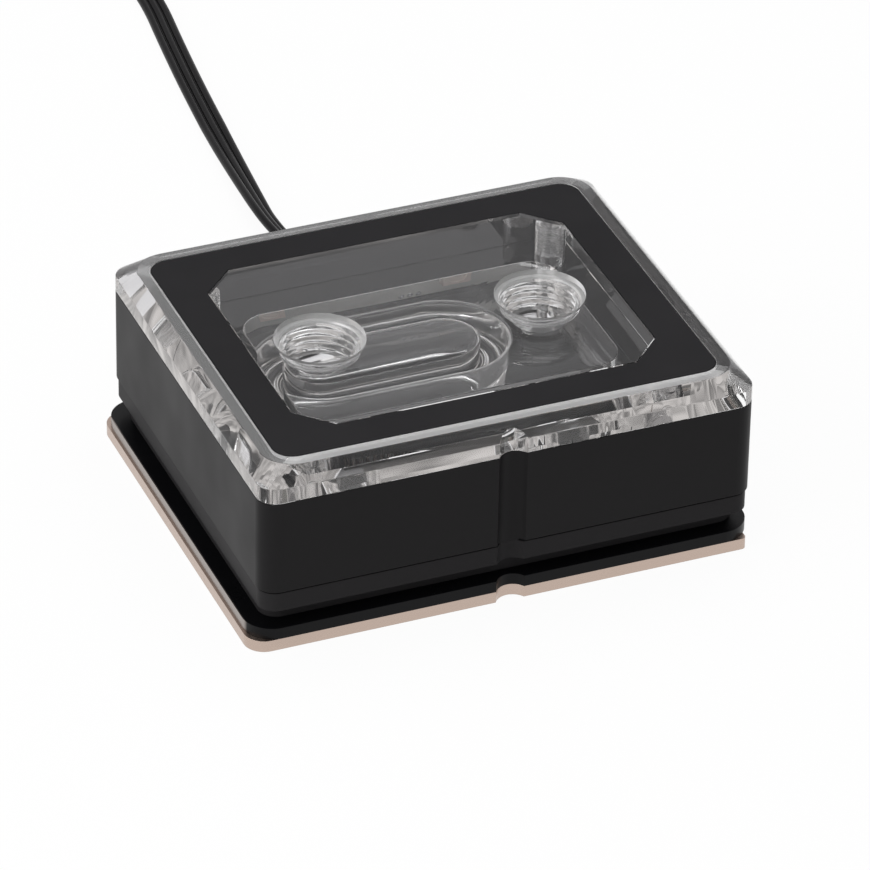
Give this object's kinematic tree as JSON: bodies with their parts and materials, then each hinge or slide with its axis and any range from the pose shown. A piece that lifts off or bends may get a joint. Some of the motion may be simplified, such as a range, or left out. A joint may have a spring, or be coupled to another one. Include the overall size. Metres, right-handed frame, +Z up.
{
  "type": "liquid cooling cold plate",
  "caption": "Rectangular processor water block: clear acrylic top with two threaded ports in a black housing on a finned copper base, with a lit strip and its flat lead.",
  "frame": {"origin": "on the contact face, below the middle of the housing", "axes": "+X along the long side from the inlet port to the outlet port, +Y towards the side where the lead leaves, +Z up through the clear top"},
  "size_m": [0.1172, 0.2597, 0.0326],
  "materials": {
    "nickel_copper": "nickel-plated copper, ground",
    "black_plate": "black coated plate",
    "black_frame": "satin black moulding",
    "black_housing": "satin black moulding",
    "clear_acrylic": "milled and polished clear acrylic",
    "black_trim": "matt black anodised aluminium",
    "adhesive": "thin black adhesive",
    "seal_rubber": "black sealing rubber",
    "screw_steel": "stainless steel",
    "insert_brass": "turned brass",
    "strip_board": "white solder mask",
    "led_resin": "cream chip resin",
    "ceramic_part": "fired ceramic",
    "solder": "solder",
    "lead_sheath": "black wire sheath",
    "black_nylon": "black nylon"
  },
  "bodies": {
    "root": {"cold_plate": "nickel_copper", "flange_plate": "black_plate", "lower_frame": "black_frame", "housing": "black_housing", "acrylic_block": "clear_acrylic", "trim_frame": "black_trim", "trim_tape": "adhesive", "jet_plate": "black_plate", "outer_seal": "seal_rubber", "base_seal": "seal_rubber", "inlet_seal": "seal_rubber", "block_screws": "screw_steel", "housing_screws": "screw_steel", "threaded_inserts": "insert_brass", "led_board": "strip_board", "led_chips": "led_resin", "led_capacitors": "ceramic_part", "solder_joints": "solder", "led_tape": "adhesive", "cable_grommet": "seal_rubber", "led_cable": "lead_sheath", "cable_coil": "lead_sheath", "coil_tie": "black_nylon", "heat_shrink": "lead_sheath", "connector_body": "black_nylon", "connector_contacts": "solder"}
  },
  "joints": []
}
